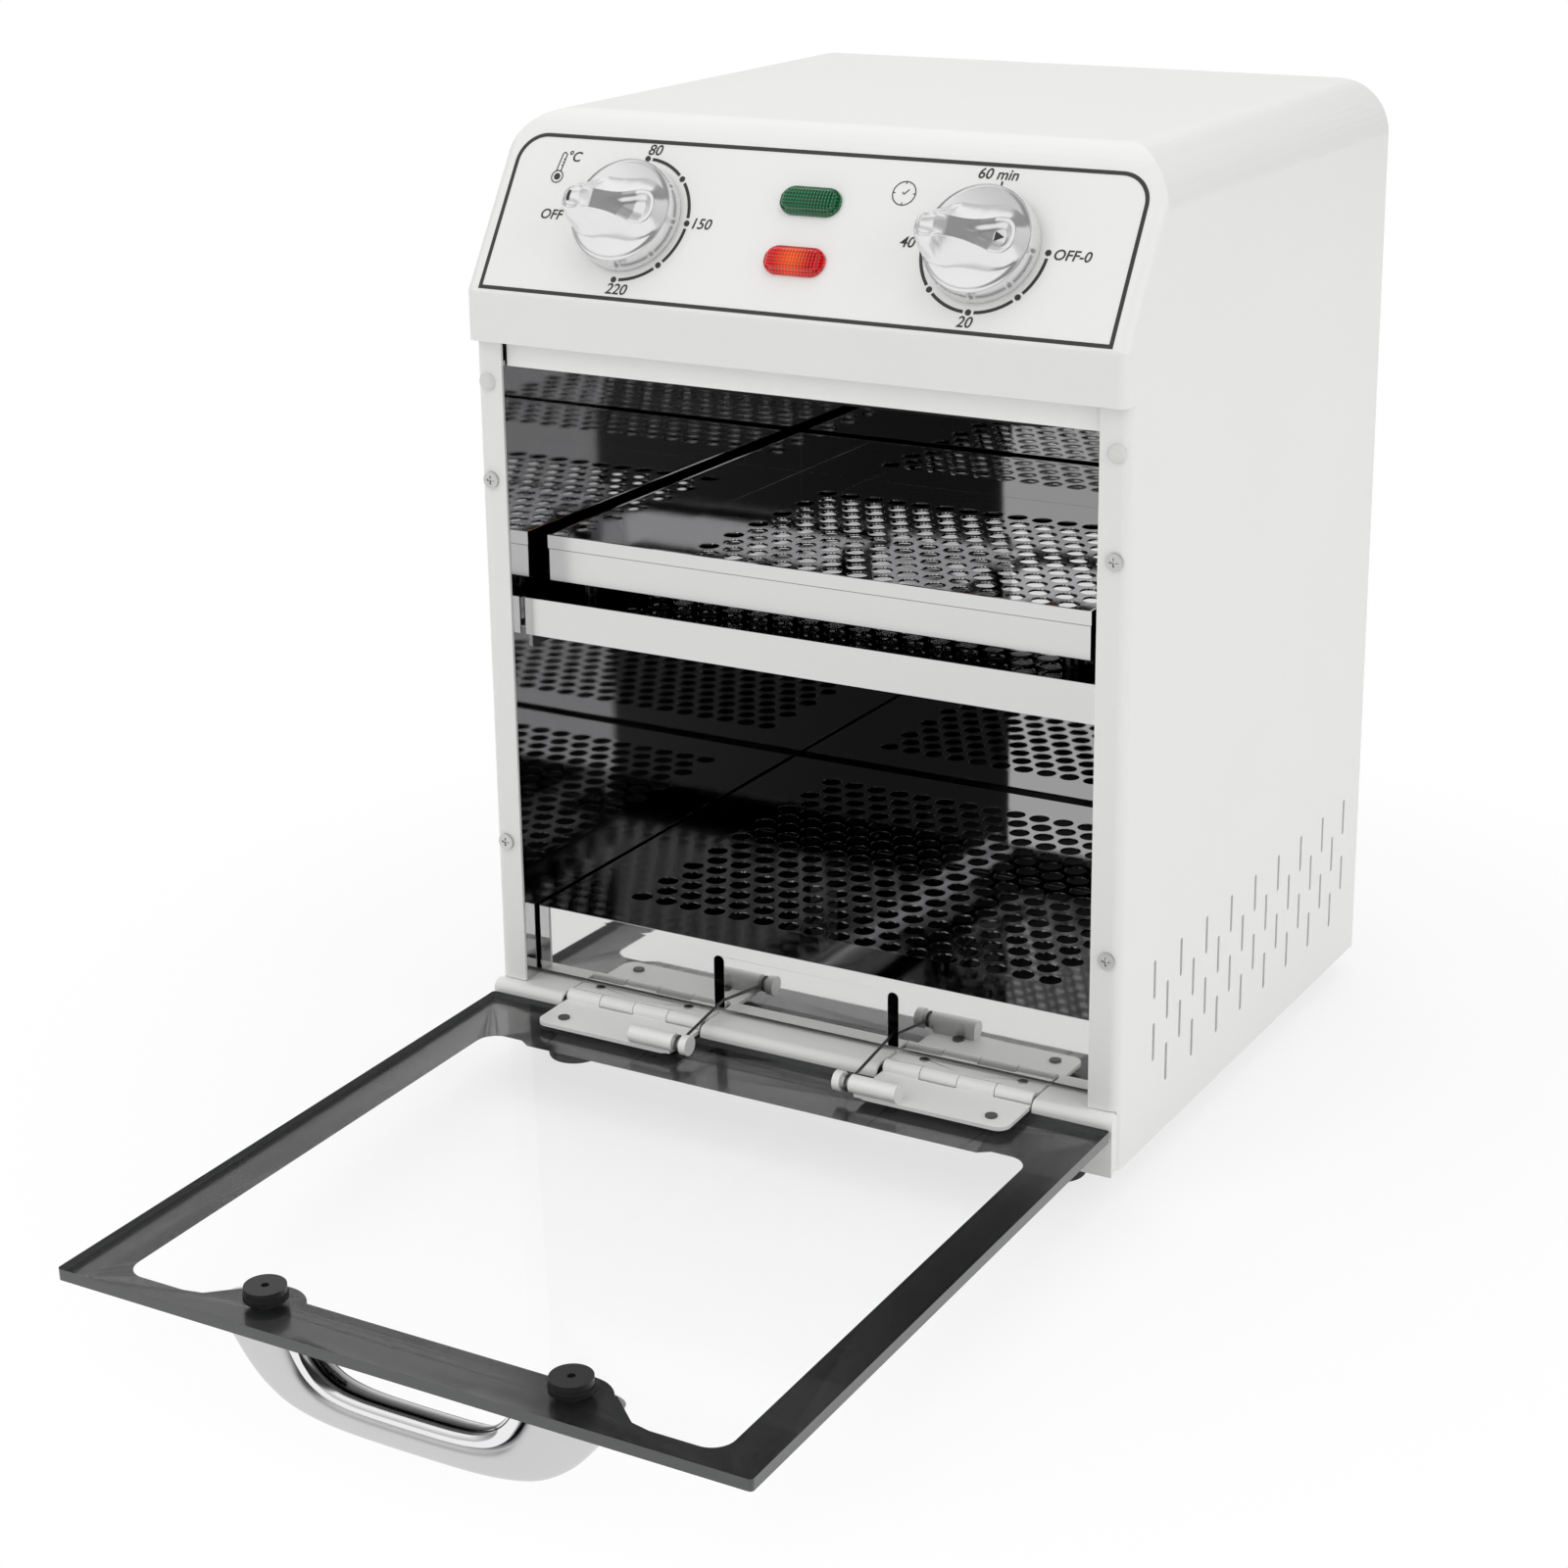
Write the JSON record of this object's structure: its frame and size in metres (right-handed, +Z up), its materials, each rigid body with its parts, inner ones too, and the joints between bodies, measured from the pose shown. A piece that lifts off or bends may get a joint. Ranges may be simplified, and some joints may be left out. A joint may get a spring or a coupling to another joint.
{
  "type": "dry heat sterilizer",
  "caption": "Bench dry heat sterilizer: white sheet-metal cabinet with a drop-down glass door, mirror chamber, perforated shelf and tray, and a sloped panel with a temperature dial and a timer.",
  "frame": {"origin": "on the bench, under the middle of the case's front face", "axes": "+Z up, the front and the opened door towards -Y, +X to the right seen from the front"},
  "size_m": [0.27, 0.5099, 0.3892],
  "materials": {
    "white_enamel": "warm white powder coat, fine satin",
    "header_white": "warm white powder coat",
    "panel_grey": "light grey powder coat",
    "mirror_steel": "mirror polished stainless steel",
    "bright_steel": "bright stainless steel, folded and punched",
    "plain_steel": "zinc plated steel",
    "mineral_wool": "pressed mineral wool board",
    "heater_dark": "heat-stained steel tube",
    "black_plastic": "moulded black plastic",
    "grey_plastic": "moulded control body",
    "copper": "copper bulb and capillary",
    "lens_green": "ribbed green lens",
    "lens_red": "ribbed red lens, lit",
    "hinge_white": "white painted steel",
    "rubber_black": "moulded rubber",
    "silicone": "translucent silicone",
    "screw_steel": "plated screw",
    "clear_glass": "clear toughened glass",
    "dark_enamel": "glossy dark grey enamel fired on the glass",
    "silver_satin": "satin silver",
    "bright_chrome": "chrome plated",
    "screw_dark": "dark plated screw",
    "wire_steel": "spring steel wire",
    "knob_chrome": "chrome plated",
    "shaft_brass": "turned shaft",
    "print_ink": "dark grey screen printing",
    "wire_red": "insulated wire"
  },
  "bodies": {
    "cabinet": {"outer_cover": "white_enamel", "base_pan": "white_enamel", "back_panel": "panel_grey", "header_strip": "header_white", "liner_shell": "mirror_steel", "liner_floor": "mirror_steel", "insulation": "mineral_wool", "control_deck": "plain_steel", "floor_plate": "bright_steel", "shelf_rails": "plain_steel", "lower_heater": "heater_dark", "upper_heater": "heater_dark", "heater_brackets": "plain_steel", "thermostat_body": "black_plastic", "timer_body": "grey_plastic", "thermostat_bulb": "copper", "control_screws": "screw_steel", "panel_print": "print_ink", "run_lamp": "lens_green", "power_lamp": "lens_red", "lamp_holders": "black_plastic", "left_sill_leaf": "hinge_white", "right_sill_leaf": "hinge_white", "hinge_pins": "plain_steel", "sill_screws": "screw_steel", "spring_anchor": "plain_steel", "stay_springs": "wire_steel", "feet": "rubber_black", "foot_screws": "screw_steel", "bumpers": "silicone", "post_screws": "screw_steel", "rear_screws": "screw_steel", "terminal_block": "grey_plastic", "thermal_cutout": "plain_steel", "wiring": "wire_red", "cord_inlet": "black_plastic"},
    "door": {"door_glass": "clear_glass", "door_border": "dark_enamel", "handle_grip": "silver_satin", "handle_liner": "bright_chrome", "handle_bolts": "black_plastic", "handle_washers": "rubber_black", "left_door_leaf": "hinge_white", "right_door_leaf": "hinge_white", "leaf_screws": "screw_dark", "stay_pins": "hinge_white"},
    "left_stay": {"left_stay_wire": "wire_steel"},
    "right_stay": {"right_stay_wire": "wire_steel"},
    "mid_shelf": {"mid_shelf": "bright_steel"},
    "upper_tray": {"upper_tray": "bright_steel"},
    "temperature_dial": {"temperature_knob": "knob_chrome", "temperature_shaft": "shaft_brass"},
    "timer_dial": {"timer_knob": "knob_chrome", "timer_shaft": "shaft_brass"}
  },
  "joints": [
    {"name": "door_hinge", "type": "hinge", "parent": "cabinet", "child": "door", "pos_m": [0, 0.0055, 0.0315], "axis": [-1, 0, 0], "range_deg": [0, 91], "deforming": ["stay_springs"]},
    {"name": "left_stay_swing", "type": "hinge", "parent": "door", "child": "left_stay", "pos_m": [-0.0368, -0.01824, 0.03379], "axis": [-1, 0, 0], "range_deg": [-82, 0]},
    {"name": "right_stay_swing", "type": "hinge", "parent": "door", "child": "right_stay", "pos_m": [0.0368, -0.01824, 0.03379], "axis": [-1, 0, 0], "range_deg": [-82, 0]},
    {"name": "shelf_slide", "type": "slide", "parent": "cabinet", "child": "mid_shelf", "axis": [0, 1, 0], "range_m": [-0.11, 0]},
    {"name": "tray_slide", "type": "slide", "parent": "mid_shelf", "child": "upper_tray", "axis": [0, 1, 0], "range_m": [-0.11, 0]},
    {"name": "temperature_turn", "type": "hinge", "parent": "cabinet", "child": "temperature_dial", "pos_m": [-0.0715, 0.0178, 0.34076], "axis": [0, -0.8462, 0.5329], "range_deg": [-270, 0]},
    {"name": "timer_turn", "type": "hinge", "parent": "cabinet", "child": "timer_dial", "pos_m": [0.073, 0.0178, 0.34076], "axis": [0, -0.8462, 0.5329], "range_deg": [-270, 0]}
  ],
  "couplings": [
    {"joint": "left_stay_swing", "follows": "door_hinge", "ratio": -0.8764},
    {"joint": "right_stay_swing", "follows": "door_hinge", "ratio": -0.8764}
  ]
}
